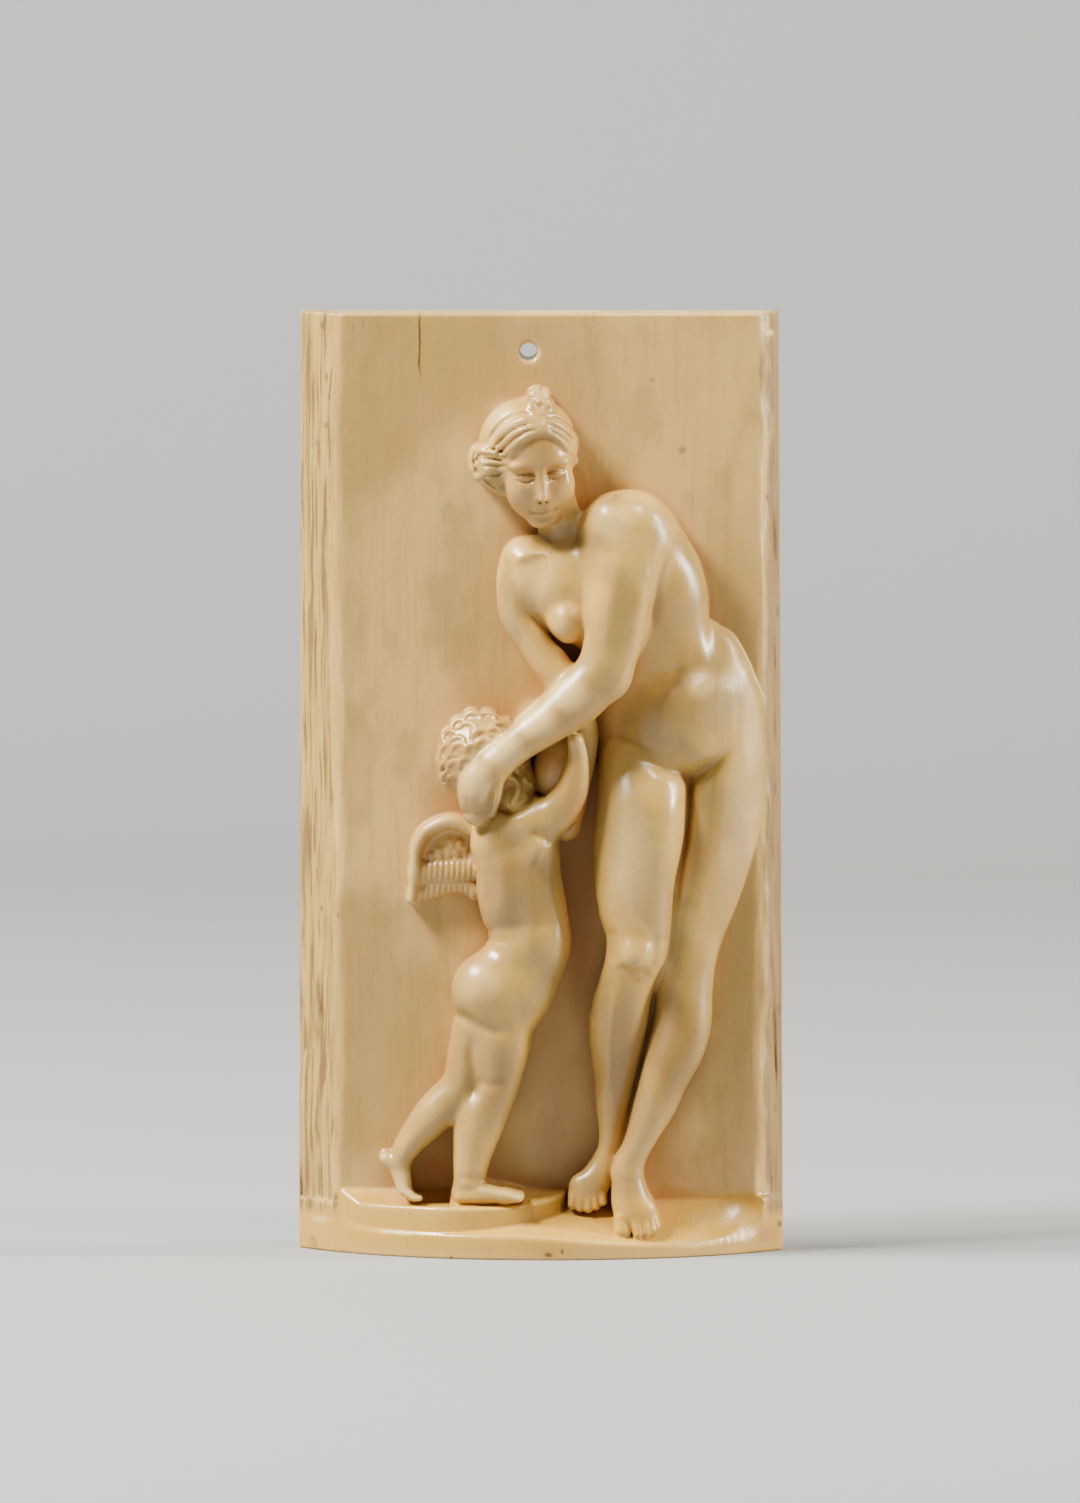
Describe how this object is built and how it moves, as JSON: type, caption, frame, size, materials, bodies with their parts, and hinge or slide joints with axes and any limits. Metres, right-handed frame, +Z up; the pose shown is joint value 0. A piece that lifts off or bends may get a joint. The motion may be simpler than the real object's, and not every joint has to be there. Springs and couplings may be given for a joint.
{
  "type": "ivory plaque",
  "caption": "Upright carved ivory plaque with a rounded front: a standing classical goddess bends over a small winged child, in high relief on a ledge.",
  "frame": {"origin": "middle of the bounding box on the flat underside", "axes": "+Z up along the tusk's grain, +X to the viewer's right, the carved side faces -Y and the flat back faces +Y"},
  "size_m": [0.09, 0.0305, 0.1745],
  "materials": {
    "ivory": "old ivory, hand polished, warm cream with orange-brown patina in the recesses"
  },
  "bodies": {
    "root": {"plaque": "ivory"}
  },
  "joints": []
}
